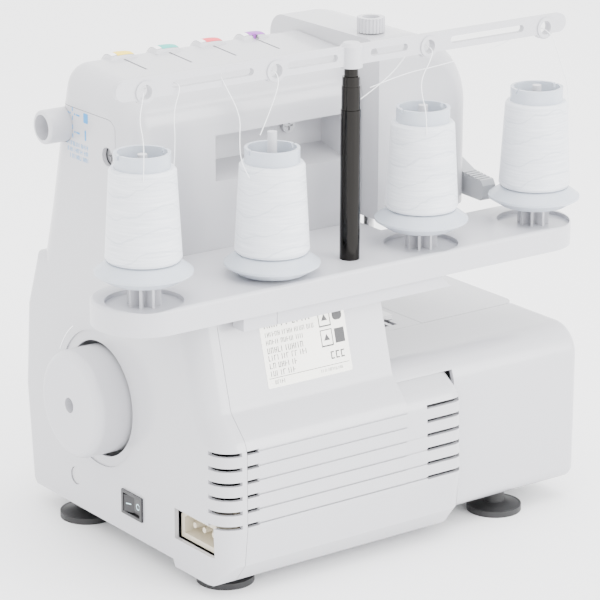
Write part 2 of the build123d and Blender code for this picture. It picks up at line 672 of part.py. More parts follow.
# ---------------------------------------------------------------- controls
for i, x in enumerate(dial_xs):
    with BuildPart() as dial:
        rod_x(dial_y, dial_z, x - 7 - dial_width / 2, x - 7 + dial_width / 2, dial_r)
        for j in range(30):
            turn = 2 * pi * j / 30
            rod_x(dial_y + dial_r * cos(turn), dial_z + dial_r * sin(turn), x - 14, x, 0.7, Mode.SUBTRACT)
        rod_x(dial_y, dial_z, x - 14, x, rod_r + running, Mode.SUBTRACT)
    write(dial, "tension_dial_" + str(i + 1))

with BuildPart() as tension_discs:
    rod_x(dial_y, dial_z, -45.5, 89, rod_r)
    for x in dial_xs:
        with Locations(Location((x - 1.4, dial_y, dial_z), (0, 90, 0))):
            Cone(7.4, 6.0, 1.0)
        with Locations(Location((x + 1.4, dial_y, dial_z), (0, 90, 0))):
            Cone(6.0, 7.4, 1.0)
write(tension_discs, "tension_discs")

with BuildPart() as release_knob:
    rod_x(knob_y, knob_z, knob_in, side_x + knob_out, knob_r)
    end = release_knob.faces().sort_by(Axis.X)[-1]
    fillet(end.edges(), 1.6)
    rod_x(knob_y, knob_z, side_x + 2, side_x + knob_out + 1, knob_r - 2.4, Mode.SUBTRACT)
    rod_x(knob_y, knob_z, knob_in - 1, knob_in + 1, 6, Mode.SUBTRACT)
write(release_knob, "release_knob")

dial_x = bed_left_x - 4.0
with BuildPart() as stitch_dial:
    rod_x(30, 60, dial_x, bed_left_x - 0.4, 12.0)
    for j in range(24):
        turn = 2 * pi * j / 24
        rod_x(30 + 12 * cos(turn), 60 + 12 * sin(turn), dial_x - 1, bed_left_x, 0.7, Mode.SUBTRACT)
    rod_x(30, 60, bed_left_x - 1, bed_left_x + 8, 4.0)
write(stitch_dial, "stitch_dial")

with BuildPart() as switch_bezel:
    block(side_x, side_x + 1.2, switch_y - switch_length / 2, switch_y + switch_length / 2,
          switch_z - switch_height / 2, switch_z + switch_height / 2)
    block(side_x - 16, side_x + 0.5, switch_y - switch_length / 2 + 1, switch_y + switch_length / 2 - 1,
          switch_z - switch_height / 2 + 1, switch_z + switch_height / 2 - 1)
    block(side_x - 14, side_x + 2, switch_y - 8.2, switch_y + 8.2, switch_z - 5.4, switch_z + 5.4,
          Mode.SUBTRACT)
write(switch_bezel, "switch_bezel")

rocker_x = side_x - 4.0
rocker_tilt = 8.0
with BuildPart() as switch_rocker:
    with BuildSketch(Plane.XY.offset(switch_z - 4.9)):
        with Locations((rocker_x, switch_y)):
            with Locations(Rotation(0, 0, rocker_tilt)):
                Polygon((-5, -4), (-5, 4), (0, 7.2), (4.8, 7.2), (3.4, 0), (4.8, -7.2), (0, -7.2), align=None)
    extrude(amount=9.8)
write(switch_rocker, "switch_rocker")

with BuildPart() as power_inlet:
    half = inlet_length / 2
    rise = inlet_height / 2
    with BuildSketch(Plane.YZ.offset(86)):
        with Locations((inlet_y, inlet_z)):
            Polygon((-half, -rise), (-half, rise - 4), (-half + 4, rise), (half - 4, rise), (half, rise - 4),
                    (half, -rise), align=None)
    extrude(amount=17.6)
    with BuildSketch(Plane.YZ.offset(91)):
        with Locations((inlet_y, inlet_z)):
            Polygon((-half + 3, -rise + 3), (-half + 3, rise - 5), (-half + 6, rise - 3), (half - 6, rise - 3),
                    (half - 3, rise - 5), (half - 3, -rise + 3), align=None)
    extrude(amount=14, mode=Mode.SUBTRACT)
    for y in (-9, 0, 9):
        rod_x(inlet_y + y, inlet_z, 90, 101, 1.6)
    block(83, 87, inlet_y - half - 3, inlet_y + half - 2, inlet_z - rise - 2, inlet_z + rise + 2)
write(power_inlet, "power_inlet")

with BuildPart() as case_screws:
    rod_x(-2.4, 226.7, side_x - 7, side_x - 3, 4.6)
    rod_x(-41.5, 29.9, side_x - 5, side_x - 0.6, 4.9)
    rod_y(-14, 226.5, arm_rear_y - grip_depth + 0.3, arm_rear_y - grip_depth + 2.8, 4.2)
    rod_y(-14, 226.5, arm_rear_y - grip_depth - 6, arm_rear_y - grip_depth + 1, 1.9)
    # cross recess in each head
    block(side_x - 4.5, side_x + 1, -2.4 - 0.6, -2.4 + 0.6, 223.5, 229.9, Mode.SUBTRACT)
    block(side_x - 4.5, side_x + 1, -2.4 - 3.2, -2.4 + 3.2, 226.1, 227.3, Mode.SUBTRACT)
    block(-14.6, -13.4, -3.6, -1, 223.8, 229.2, Mode.SUBTRACT)
    block(-16.7, -11.3, -3.6, -1, 225.9, 227.1, Mode.SUBTRACT)
write(case_screws, "case_screws")

# ---------------------------------------------------------------- thread stand
middle_x0 = -50.0          # the tray's middle part reaches the arm's rear wall between these
middle_x1 = 95.0
tray_wall = 2.4
with BuildPart() as thread_tray:
    with BuildSketch(Plane.XY.offset(tray_z0 + 0.05)):
        with Locations((0, (tray_y0 + tray_y1) / 2)):
            RectangleRounded(2 * tray_half, tray_y1 - tray_y0, tray_r)
        with Locations(((middle_x0 + middle_x1) / 2, (arm_rear_y + seam + tray_y0 + 20) / 2)):
            Rectangle(middle_x1 - middle_x0, tray_y0 + 20 - arm_rear_y - seam)
    extrude(amount=tray_z1 - tray_z0 - 0.05)
    top = thread_tray.faces().sort_by(Axis.Z)[-1]
    fillet(edges_of(top, lambda c: c.Y > 20), 2.0)
    with BuildSketch(Plane.XY.offset(tray_z0 - 1)):
        with Locations((0, (tray_y0 + tray_y1) / 2)):
            RectangleRounded(2 * (tray_half - tray_wall), tray_y1 - tray_y0 - 2 * tray_wall, tray_r - tray_wall)
        with Locations(((middle_x0 + middle_x1) / 2, (arm_rear_y + seam + tray_y0 + 20) / 2)):
            Rectangle(middle_x1 - middle_x0 - 2 * tray_wall, tray_y0 + 20 - arm_rear_y - seam - 2 * tray_wall)
    extrude(amount=tray_z1 - tray_z0 + 1 - 5.4, mode=Mode.SUBTRACT)
    # socket of the mast, shallow wells under the lifted spools, bores of the spool pins
    rod_z(0, mast_y, tray_z0 + 0.05, tray_z1 - 4, mast_r + 3)
    rod_z(0, mast_y, tray_z0 + 3, tray_z1 + 1, mast_r + 0.02, Mode.SUBTRACT)
    for x, lift in zip(pin_xs, spool_lift):
        if lift > 4:
            rod_z(x, pin_y, tray_z1 - 2.2, tray_z1 + 1, 21, Mode.SUBTRACT)
        rod_z(x, pin_y, tray_z1 - 6, tray_z1 + 1, pin_r + 0.01, Mode.SUBTRACT)
write(thread_tray, "thread_tray")

with BuildPart() as tray_bracket:
    with BuildSketch(Plane.XZ.offset(-90)):
        Polygon((-50, 154.9), (-59, 146.5), (83, 146.5), (83, 154.9), align=None)
    extrude(amount=10)
    with BuildSketch(Plane.XZ.offset(-87.6)):
        Polygon((-49, 151.6), (-54, 148.9), (80.6, 148.9), (80.6, 151.6), align=None)
    extrude(amount=10, mode=Mode.SUBTRACT)
    # the bracket is made as two mouldings that meet here
    block(60.8, 61.2, 89.4, 91, 146, 155, Mode.SUBTRACT)
write(tray_bracket, "tray_bracket")

mast_top_z = 253.0
with BuildPart() as mast_tube:
    rod_z(0, mast_y, tray_z0 + 3, mast_top_z, mast_r)
    rod_z(0, mast_y, tray_z0 + 6, mast_top_z + 1, mast_middle_r + mast_slip, Mode.SUBTRACT)
write(mast_tube, "mast_tube")

middle_top_z = 271.5
with BuildPart() as mast_middle:
    rod_z(0, mast_y, 175, middle_top_z, mast_middle_r)
    rod_z(0, mast_y, mast_top_z + 0.4, 266, mast_middle_r + 0.35)
    rod_z(0, mast_y, 174, middle_top_z + 1, mast_rod_r + mast_slip, Mode.SUBTRACT)
write(mast_middle, "mast_middle")

rod_top_z = 286.0
with BuildPart() as mast_rod:
    rod_z(0, mast_y, 180, rod_top_z, mast_rod_r)
write(mast_rod, "mast_rod")

slots = [(117.4, 65.6), (43.6, 10.4), (-11.9, -37.4), (-67.6, -120.4)]
slot_height = 4.0
with BuildPart() as guide_bar:
    with BuildSketch(Plane.XZ.offset(-(mast_y - bar_thickness / 2))):
        with Locations((0, bar_z)):
            RectangleRounded(2 * bar_half, bar_height, bar_height / 2 - 0.1)
        with Locations(*[(x, ring_z) for x in ring_xs]):
            Circle(ring_r)
        with Locations(*[(x, ring_z) for x in ring_xs]):
            Circle(ring_hole_r, mode=Mode.SUBTRACT)
        for start, stop in slots:
            with Locations(((start + stop) / 2, bar_z)):
                SlotOverall(abs(start - stop), slot_height, mode=Mode.SUBTRACT)
    extrude(amount=-bar_thickness)
    # collared eyes round the rings, and the holder on top of the mast
    for x in ring_xs:
        rod_y(x, ring_z, mast_y - bar_thickness / 2 - 0.8, mast_y + bar_thickness / 2 + 0.8, ring_r - 0.8)
        rod_y(x, ring_z, mast_y - 6, mast_y + 6, ring_hole_r, Mode.SUBTRACT)
    rod_z(0, mast_y, 276.5, 288, 6.2)
    with Locations((0, mast_y, 289)):
        Cone(6.2, 4.4, 2)
    rod_z(0, mast_y, 276, rod_top_z, mast_rod_r + 0.02, Mode.SUBTRACT)
write(guide_bar, "guide_bar")

with BuildPart() as spool_pins:
    for x, lift in zip(pin_xs, spool_lift):
        rod_z(x, pin_y, tray_z1 - 6, pin_top_z, pin_r)
        if lift > 4:
            # crossed vanes on which the spool rests
            for turn in (0, 45, 90, 135):
                with Locations(Location((x, pin_y, tray_z1 - 2.2 + lift / 2 + 1), (0, 0, turn))):
                    Box(18, 1.4, lift + 2)
write(spool_pins, "spool_pins")

tube_r = 15.0
web = 2.0
pack_bottom_r = 20.4
pack_top_r = 17.5
pack_z0 = 11.5
pack_z1 = 61.0
for i, (x, lift) in enumerate(zip(pin_xs, spool_lift)):
    foot = tray_z1 + lift + 1.2 if lift > 4 else tray_z1 + lift
    with BuildPart() as spool:
        with BuildSketch(plane_at(x, pin_y, foot)):
            Polygon((pin_r + 0.5, 0), (19, 0), (flange_r, 4.4), (flange_r, 5.6), (19.5, 10.6), (tube_r, 11.4),
                    (tube_r, spool_height), (tube_r - 1.8, spool_height), (tube_r - 1.8, web),
                    (pin_r + 2.4, web), (pin_r + 2.4, spool_height - 8), (pin_r + 0.5, spool_height - 8),
                    align=None)
        revolve(axis=Axis((x, pin_y, 0), (0, 0, 1)))
        # locating notches in the rim
        block(x - 20, x + 20, pin_y - 1, pin_y + 1, foot + spool_height - 2.5, foot + spool_height + 1,
              Mode.SUBTRACT)
    write(spool, "spool_" + str(i + 1))
    with BuildPart() as package:
        with BuildSketch(plane_at(x, pin_y, foot)):
            Polygon((tube_r + 0.02, pack_z0), (pack_bottom_r - 1, pack_z0), (pack_bottom_r, pack_z0 + 1.5),
                    (pack_top_r + 0.3, pack_z1 - 1.5), (pack_top_r - 0.8, pack_z1), (tube_r + 0.02, pack_z1),
                    align=None)
        revolve(axis=Axis((x, pin_y, 0), (0, 0, 1)))
    write(package, "thread_cone_" + str(i + 1))

# Each strand leaves its package, passes through the ring above it and hangs free.
strand_routes = [
    [(143.8, 87.5, 238), (142.4, 86.3, 250), (140.6, 83, 259.5), (141, 80, 268.6), (136.5, 77.5, 280),
     (131, 69.5, 282.6), (121, 68.5, 283.5), (114.5, 70, 283.3), (112.5, 77, 282.6), (119, 78.5, 270),
     (116.4, 76.5, 253.7), (117.2, 76, 240.4)],
    [(69.2, 76.2, 226), (75.4, 77, 235), (76.6, 77.5, 248), (76, 77.8, 261.6), (86.5, 77.2, 280.5),
     (84.5, 70, 284.2), (70, 68.6, 284.5), (55, 70, 282.3), (51, 77, 281), (53, 79.5, 271), (64, 78.5, 249)],
    [(-41.5, 87.8, 235), (-42.4, 86.4, 247.5), (-42.1, 82, 257), (-44, 79.2, 265.5), (-50.5, 78.9, 274.3),
     (-54, 77, 280.3), (-50, 70, 282.3), (-43, 67.5, 277), (-36, 66.5, 269), (-24, 66.8, 261.5),
     (-10, 66.2, 254.5)],
    [(-146.9, 85.2, 235), (-148.6, 82.7, 247), (-146, 80, 257), (-142.5, 79, 268), (-139, 77.5, 278.5),
     (-134, 70, 282), (-126, 67.5, 278.5), (-116, 66.5, 274.5), (-101, 66, 271), (-84, 65.4, 268.4),
     (-64, 65, 266.4), (-42, 64.6, 265.2), (-19.8, 64.9, 260.7)],
]


def bend_radius(before, corner, after):
    """The arc radius that a thread takes at a corner of its route."""
    first = Vector(*before) - Vector(*corner)
    second = Vector(*after) - Vector(*corner)
    half_turn = radians(180 - first.get_angle(second)) / 2
    return 0.45 * min(first.length, second.length) / tan(half_turn)


for i, route in enumerate(strand_routes):
    bends = [bend_radius(*route[j - 1:j + 2]) for j in range(1, len(route) - 1)]
    print("thread_strand", i + 1, "bend radii", [round(bend, 1) for bend in bends])
    with BuildPart() as strand:
        with BuildLine():
            centre = FilletPolyline(*route, radius=bends)
        with BuildSketch(Plane(origin=centre @ 0, z_dir=centre % 0)):
            Circle(thread_d / 2)
        sweep()
    section = pi * thread_d ** 2 / 4
    print("volume over section times length", round(strand.part.volume / (section * centre.length), 4))
    write(strand, "thread_strand_" + str(i + 1))
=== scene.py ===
import math
import random

import bmesh
import bpy
from mathutils import Matrix, Vector
from mathutils.bvhtree import BVHTree


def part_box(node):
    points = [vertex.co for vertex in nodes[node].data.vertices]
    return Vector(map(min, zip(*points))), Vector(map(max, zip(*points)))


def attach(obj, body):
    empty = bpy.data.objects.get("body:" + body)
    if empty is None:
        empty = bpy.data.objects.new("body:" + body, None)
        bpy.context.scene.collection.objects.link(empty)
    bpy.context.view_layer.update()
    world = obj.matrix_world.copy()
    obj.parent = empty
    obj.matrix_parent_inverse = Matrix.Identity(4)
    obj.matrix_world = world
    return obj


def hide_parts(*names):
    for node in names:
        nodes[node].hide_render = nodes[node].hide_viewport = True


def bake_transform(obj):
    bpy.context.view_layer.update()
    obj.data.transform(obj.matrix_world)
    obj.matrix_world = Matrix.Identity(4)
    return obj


# Serger overlock machine with its thread stand, seen from behind on the handwheel side.
# Everything is in metres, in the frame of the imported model: +Z up, +X to the handwheel.

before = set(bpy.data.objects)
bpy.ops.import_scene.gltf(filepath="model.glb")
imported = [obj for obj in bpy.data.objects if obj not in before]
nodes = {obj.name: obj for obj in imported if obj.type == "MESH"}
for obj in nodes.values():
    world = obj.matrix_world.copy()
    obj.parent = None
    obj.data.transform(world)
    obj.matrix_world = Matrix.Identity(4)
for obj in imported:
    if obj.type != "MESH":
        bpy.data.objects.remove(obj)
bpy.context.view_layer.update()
bpy.ops.object.select_all(action="DESELECT")
mm = 0.001


# ------------------------------------------------------------------ camera
def place_camera():
    """A long lens behind the machine, looking a little down on the thread stand."""
    azimuth, elevation, roll = math.radians(143.53), math.radians(17.47), math.radians(0.23)
    target = Vector((-11.51, 12.33, 127.13)) * mm
    distance = 1659.44 * mm
    back = Vector((math.sin(azimuth) * math.cos(elevation), -math.cos(azimuth) * math.cos(elevation),
                   math.sin(elevation)))
    level = Vector((math.cos(azimuth), math.sin(azimuth), 0))
    rise = back.cross(level)
    right = level * math.cos(roll) + rise * math.sin(roll)
    up = rise * math.cos(roll) - level * math.sin(roll)
    data = bpy.data.cameras.new("camera")
    data.lens = 173.98
    data.sensor_width = 36
    data.clip_start = 0.05
    camera = bpy.data.objects.new("camera", data)
    turn = Matrix((right, up, back)).transposed()
    camera.matrix_world = Matrix.Translation(target + back * distance) @ turn.to_4x4()
    bpy.context.scene.collection.objects.link(camera)
    bpy.context.scene.camera = camera


place_camera()


# ------------------------------------------------------------------ materials
class Value:
    """A socket that can be written into sums."""

    def __init__(self, finish, socket):
        self.finish, self.socket = finish, socket

    def _math(self, operation, first, second):
        return self.finish.node("ShaderNodeMath", {"operation": operation}, {0: first, 1: second})

    def __add__(self, other):
        return self._math("ADD", self, other)

    def __radd__(self, other):
        return self._math("ADD", other, self)

    def __sub__(self, other):
        return self._math("SUBTRACT", self, other)

    def __rsub__(self, other):
        return self._math("SUBTRACT", other, self)

    def __mul__(self, other):
        return self._math("MULTIPLY", self, other)

    def __rmul__(self, other):
        return self._math("MULTIPLY", other, self)

    def above(self, other):
        return self._math("GREATER_THAN", self, other)


class Finish:
    """A material under construction: its nodes are added by node() and end in the Principled shader."""

    def __init__(self, name):
        self.material = bpy.data.materials.new(name)
        self.material.use_nodes = True
        self.tree = self.material.node_tree
        self.shader = next(n for n in self.tree.nodes if n.type == "BSDF_PRINCIPLED")

    def node(self, kind, settings=None, values=None, out=0):
        made = self.tree.nodes.new(kind)
        for key, setting in (settings or {}).items():
            setattr(made, key, setting)
        for key, value in (values or {}).items():
            self.feed(made.inputs[key], value)
        return Value(self, made.outputs[out])

    def feed(self, socket, value):
        if isinstance(value, Value):
            self.tree.links.new(value.socket, socket)
        else:
            socket.default_value = value

    def place(self):
        return self.node("ShaderNodeTexCoord", out="Object")

    def noise(self, scale, detail=3.0, stretch=(1, 1, 1)):
        moved = self.node("ShaderNodeMapping", values={"Vector": self.place(), "Scale": stretch})
        return self.node("ShaderNodeTexNoise", values={"Vector": moved, "Scale": scale, "Detail": detail},
                         out="Fac")

    def blend(self, amount, low, high):
        """From the low colour to the high one as amount goes from 0 to 1."""
        return self.node("ShaderNodeMix", {"data_type": "RGBA"}, {"Factor": amount, 6: low, 7: high}, out=2)

    def parts(self, vector):
        """The three coordinates of a vector."""
        split = self.node("ShaderNodeSeparateXYZ", values={"Vector": vector}).socket.node
        return [Value(self, split.outputs[axis]) for axis in "XYZ"]

    def sine(self, angle):
        return self.node("ShaderNodeMath", {"operation": "SINE"}, {0: angle})

    def bump(self, height, strength, distance):
        return self.node("ShaderNodeBump", values={"Height": height, "Strength": strength,
                                                   "Distance": distance})

    def set(self, **sockets):
        for name, value in sockets.items():
            self.feed(self.shader.inputs[name.replace("_", " ")], value)
        return self.material


def rgb(red, green, blue):
    return (red, green, blue, 1.0)


def plastic(name, colour, roughness, coat=0.0, grain=900, depth=0.05, tint=0.97):
    """Moulded plastic: a fine grain, slightly uneven gloss and colour."""
    finish = Finish(name)
    grains = finish.noise(grain, 2.0)
    cloud = finish.noise(9, 3.0)
    dark = tuple(c * tint for c in colour[:3]) + (1.0,)
    finish.set(Base_Color=finish.blend(cloud, dark, colour), Roughness=roughness - 0.04 + 0.08 * cloud,
               Normal=finish.bump(grains, depth, 0.00012))
    finish.shader.inputs["Coat Weight"].default_value = coat
    finish.shader.inputs["Coat Roughness"].default_value = 0.12
    return finish.material


def metal(name, colour, roughness, stretch=(1, 1, 1), scale=300, depth=0.05, spread=0.1):
    """Ground, plated or cast metal."""
    finish = Finish(name)
    scratches = finish.noise(scale, 4.0, stretch)
    smudge = finish.noise(30, 3.0)
    dark = tuple(c * 0.8 for c in colour[:3]) + (1.0,)
    finish.set(Base_Color=finish.blend(scratches, dark, colour), Roughness=roughness + spread * smudge,
               Normal=finish.bump(scratches, depth, 0.0001))
    finish.shader.inputs["Metallic"].default_value = 1.0
    return finish.material


case_white = plastic("case_white", rgb(0.50, 0.50, 0.525), 0.24, coat=0.35)
stand_white = plastic("stand_white", rgb(0.52, 0.52, 0.55), 0.32, coat=0.15)
knob_white = plastic("knob_white", rgb(0.52, 0.52, 0.55), 0.3, coat=0.2)
black_plastic = plastic("black_plastic", rgb(0.012, 0.012, 0.014), 0.3, coat=0.2, tint=0.8)
black_rubber = plastic("black_rubber", rgb(0.016, 0.016, 0.017), 0.5, depth=0.2, tint=0.7)
cream_plastic = plastic("cream_plastic", rgb(0.66, 0.60, 0.47), 0.42, tint=0.9)
grey_plastic = plastic("grey_plastic", rgb(0.40, 0.41, 0.43), 0.4, tint=0.9)
steel = metal("ground_steel", rgb(0.60, 0.60, 0.61), 0.28, (1, 14, 14))
alloy = metal("cast_alloy", rgb(0.50, 0.51, 0.52), 0.5, scale=700, depth=0.2)
chrome = metal("chrome_plate", rgb(0.022, 0.021, 0.02), 0.12, (30, 30, 1), scale=60, depth=0.02,
               spread=0.06)


def spool_plastic():
    """Cloudy, slightly bluish plastic that lets some light through."""
    finish = Finish("spool_plastic")
    cloud = finish.noise(70, 3.0)
    finish.set(Base_Color=finish.blend(cloud, rgb(0.55, 0.60, 0.67), rgb(0.66, 0.70, 0.77)),
               Roughness=0.2 + 0.1 * cloud)
    finish.shader.inputs["Subsurface Weight"].default_value = 0.25
    finish.shader.inputs["Subsurface Radius"].default_value = (0.004, 0.004, 0.005)
    finish.shader.inputs["Transmission Weight"].default_value = 0.22
    finish.shader.inputs["IOR"].default_value = 1.3
    return finish.material


def wound_thread(name, centre):
    """Satin thread wound in fine level turns, with a few crossing strands."""
    finish = Finish(name)
    moved = finish.node("ShaderNodeMapping", values={"Vector": finish.place(),
                                                     "Location": (-centre[0], -centre[1], 0)})
    across, along, height = finish.parts(moved)
    round_it = finish.node("ShaderNodeMath", {"operation": "ARCTAN2"}, {0: along, 1: across})
    wobble = finish.noise(60, 2.0)
    turn_rate = 9500          # radians of the fine level turns in a metre of height
    crossing_rate = 520       # the same for the few crossing strands
    turns = finish.sine(height * turn_rate + round_it * 3 + wobble * 5)
    crossing = finish.sine(height * crossing_rate + finish.sine(round_it * 2 + wobble * 3) * 2.2)
    line = crossing.above(0.975)
    layers = finish.noise(240, 3.0, (0.25, 0.25, 4))
    shade = finish.blend(layers, rgb(0.52, 0.55, 0.60), rgb(0.86, 0.88, 0.92))
    shade = finish.blend(line * 0.35, shade, rgb(0.42, 0.46, 0.52))
    finish.set(Base_Color=shade, Roughness=0.38 + 0.15 * layers,
               Normal=finish.bump(turns * 0.5 + layers * 1.2 + line, 0.35, 0.0002))
    finish.shader.inputs["Sheen Weight"].default_value = 0.35
    finish.shader.inputs["Sheen Roughness"].default_value = 0.4
    return finish.material


def print_ink(name, colour, roughness=0.35):
    """Printed ink with faint wear."""
    finish = Finish(name)
    wear = finish.noise(1800, 2.0)
    light = tuple(min(1, c * 1.25 + 0.02) for c in colour[:3]) + (1.0,)
    finish.set(Base_Color=finish.blend(wear, colour, light), Roughness=roughness + 0.1 * wear)
    return finish.material


def dress(material, *names):
    """Gives CAD nodes their finish."""
    for name in names:
        piece = nodes[name]
        if not piece.material_slots:
            piece.data.materials.append(material)
        for place in piece.material_slots:
            place.material = material


strand_white = plastic("strand_white", rgb(0.90, 0.91, 0.93), 0.5, grain=3000, depth=0.4)
spool_clear = spool_plastic()
dress(case_white, "side_cover", "arm_cover", "front_cover", "motor_cover", "bed_cover", "head_cover",
      "looper_door", "needle_plate", "cloth_plate")
dress(stand_white, "thread_tray", "tray_bracket", "guide_bar", "spool_pins")
dress(knob_white, "handwheel", "release_knob", "stitch_dial", "pressure_knob")
dress(steel, "main_shaft", "needles", "needle_bar", "presser_bar", "presser_foot",
      "upper_looper", "lower_looper", "upper_knife", "lower_knife", "feed_dogs", "tension_discs",
      "case_screws", "presser_spring")
dress(alloy, "main_frame", "motor", "base_pan")
dress(chrome, "mast_tube", "mast_middle", "mast_rod")
dress(black_rubber, "feet", "drive_belt")
dress(black_plastic, "switch_bezel", "switch_rocker", "motor_pulley", "shaft_pulley")
dress(cream_plastic, "power_inlet")
dress(grey_plastic, "lifter_lever", "tension_dial_1", "tension_dial_2", "tension_dial_3", "tension_dial_4")
for number in range(1, 5):
    dress(spool_clear, "spool_%d" % number)
    low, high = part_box("thread_cone_%d" % number)
    middle = ((low[0] + high[0]) / 2, (low[1] + high[1]) / 2)
    dress(wound_thread("wound_thread_%d" % number, middle), "thread_cone_%d" % number)

# ------------------------------------------------------------------ loose threads
thread_d = 0.5 * mm
strand_routes = [
    [(143.8, 87.5, 238), (142.4, 86.3, 250), (140.6, 83, 259.5), (141, 80, 268.6), (136.5, 77.5, 280),
     (131, 69.5, 282.6), (121, 68.5, 283.5), (114.5, 70, 283.3), (112.5, 77, 282.6), (119, 78.5, 270),
     (116.4, 76.5, 253.7), (117.2, 76, 240.4)],
    [(69.2, 76.2, 226), (75.4, 77, 235), (76.6, 77.5, 248), (76, 77.8, 261.6), (86.5, 77.2, 280.5),
     (84.5, 70, 284.2), (70, 68.6, 284.5), (55, 70, 282.3), (51, 77, 281), (53, 79.5, 271), (64, 78.5, 249)],
    [(-41.5, 87.8, 235), (-42.4, 86.4, 247.5), (-42.1, 82, 257), (-44, 79.2, 265.5), (-50.5, 78.9, 274.3),
     (-54, 77, 280.3), (-50, 70, 282.3), (-43, 67.5, 277), (-36, 66.5, 269), (-24, 66.8, 261.5),
     (-10, 66.2, 254.5)],
    [(-146.9, 85.2, 235), (-148.6, 82.7, 247), (-146, 80, 257), (-142.5, 79, 268), (-139, 77.5, 278.5),
     (-134, 70, 282), (-126, 67.5, 278.5), (-116, 66.5, 274.5), (-101, 66, 271), (-84, 65.4, 268.4),
     (-64, 65, 266.4), (-42, 64.6, 265.2), (-19.8, 64.9, 260.7)],
]


def smooth_curve(name, points, bevel=0.0):
    """A curve that runs along the points, with a round section if bevel is given."""
    data = bpy.data.curves.new(name, "CURVE")
    data.dimensions = "3D"
    data.resolution_u = 10
    data.bevel_depth = bevel
    data.bevel_resolution = 2
    data.use_fill_caps = bevel > 0
    spline = data.splines.new("NURBS")
    spline.points.add(len(points) - 1)
    for place, point in zip(spline.points, points):
        place.co = (point[0] * mm, point[1] * mm, point[2] * mm, 1)
    spline.order_u = 3
    spline.use_endpoint_u = True
    piece = bpy.data.objects.new(name, data)
    bpy.context.scene.collection.objects.link(piece)
    return piece


def as_mesh(piece):
    """The mesh that a curve makes."""
    bpy.context.view_layer.update()
    shaped = piece.evaluated_get(bpy.context.evaluated_depsgraph_get())
    return bpy.data.meshes.new_from_object(shaped)


def loose_strand(number, route):
    """One loose thread: it starts on its spool and runs up to the guide bar at its top."""
    line = smooth_curve("strand_line", route)
    path = [vertex.co.copy() for vertex in as_mesh(line).vertices]
    bpy.data.objects.remove(line)
    tube = smooth_curve("strand_tube", route, thread_d / 2)
    mesh = as_mesh(tube)
    bpy.data.objects.remove(tube)
    mesh.materials.clear()
    mesh.materials.append(strand_white)
    mesh.name = "loose_thread_%d" % number
    strand = bpy.data.objects.new(mesh.name, mesh)
    bpy.context.scene.collection.objects.link(strand)
    length = sum((b - a).length for a, b in zip(path, path[1:]))
    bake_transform(strand)
    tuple(path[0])
    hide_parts("thread_strand_%d" % number)


for number, route in enumerate(strand_routes, 1):
    loose_strand(number, route)


# ------------------------------------------------------------------ printed and small pieces
def new_piece(name, vertices, faces, material, body="machine", slot="case_white"):
    """A mesh piece that rides on a body."""
    mesh = bpy.data.meshes.new(name)
    mesh.from_pydata(vertices, [], faces)
    mesh.materials.append(material)
    piece = bpy.data.objects.new(name, mesh)
    bpy.context.scene.collection.objects.link(piece)
    shape = bmesh.new()
    shape.from_mesh(mesh)
    bmesh.ops.recalc_face_normals(shape, faces=shape.faces)
    shape.to_mesh(mesh)
    shape.free()
    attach(piece, body)
    return piece


def surface_of(name):
    """A CAD node's surface, ready to be hit by rays."""
    mesh = nodes[name].data
    return BVHTree.FromPolygons([v.co for v in mesh.vertices], [p.vertices for p in mesh.polygons])


def plate_piece(name, outlines, place, thickness, material, **more):
    """Thin raised shapes: each outline is a list of (u, v), and place(u, v, height) gives its point."""
    vertices, faces = [], []
    for outline in outlines:
        start, count = len(vertices), len(outline)
        vertices += [place(u, v, 0.0) for u, v in outline] + [place(u, v, thickness) for u, v in outline]
        faces.append([start + count + i for i in range(count)])
        faces.append([start + i for i in reversed(range(count))])
        for i in range(count):
            j = (i + 1) % count
            faces.append([start + i, start + j, start + count + j, start + count + i])
    return new_piece(name, vertices, faces, material, **more)


def bar(u0, v0, u1, v1):
    """A rectangle between two corners."""
    return [(u0, v0), (u1, v0), (u1, v1), (u0, v1)]


def rounded(u0, v0, u1, v1, radius, steps=6):
    """A rectangle with round corners."""
    points = []
    for cu, cv, first in ((u1 - radius, v1 - radius, 0), (u0 + radius, v1 - radius, 90),
                          (u0 + radius, v0 + radius, 180), (u1 - radius, v0 + radius, 270)):
        for i in range(steps + 1):
            turn = math.radians(first + 90 * i / steps)
            points.append((cu + radius * math.cos(turn), cv + radius * math.sin(turn)))
    return points


def strokes(u, v, height, length, seed):
    """A line of print in small strokes that spell nothing."""
    shapes, draw = [], random.Random(seed)
    end = u + length
    while u < end - height * 0.4:
        for _ in range(draw.randint(2, 6)):
            width = height * draw.choice((0.3, 0.5, 0.55))
            if u + width > end:
                break
            shapes.append(bar(u, v, u + height * 0.14, v + height))
            if width > height * 0.4:
                level = v + height * draw.choice((0.0, 0.45, 0.88))
                shapes.append(bar(u + height * 0.14, level, u + width, level + height * 0.12))
                if draw.random() < 0.6:
                    shapes.append(bar(u + width - height * 0.12, v, u + width, v + height))
            u += width + height * 0.22
        u += height * 0.4
    return shapes


side_x = 108.0             # outer face of the side cover, in millimetres like all sizes below
shaft_y, shaft_z = -15.6, 84.0
panel_top_y, panel_top_z = 76.0, 155.0
slope = 14.5 / 52.0        # how far the rear panel leans out for each unit down
panel_step = math.hypot(1, slope)
plate_right_x = 65.5
film_gap = 0.04            # keeps the foil just off the panel
foil_thick = 0.08
ink_thick = 0.04


def on_panel(u, v, height):
    """A point on the slanted rear panel: u from the plate's edge leftwards, v down from the top."""
    z = panel_top_z - v / panel_step
    y = panel_top_y + (panel_top_z - z) * slope
    lift = height + film_gap
    return ((plate_right_x - u) * mm, (y + lift / panel_step) * mm, (z + lift * slope / panel_step) * mm)


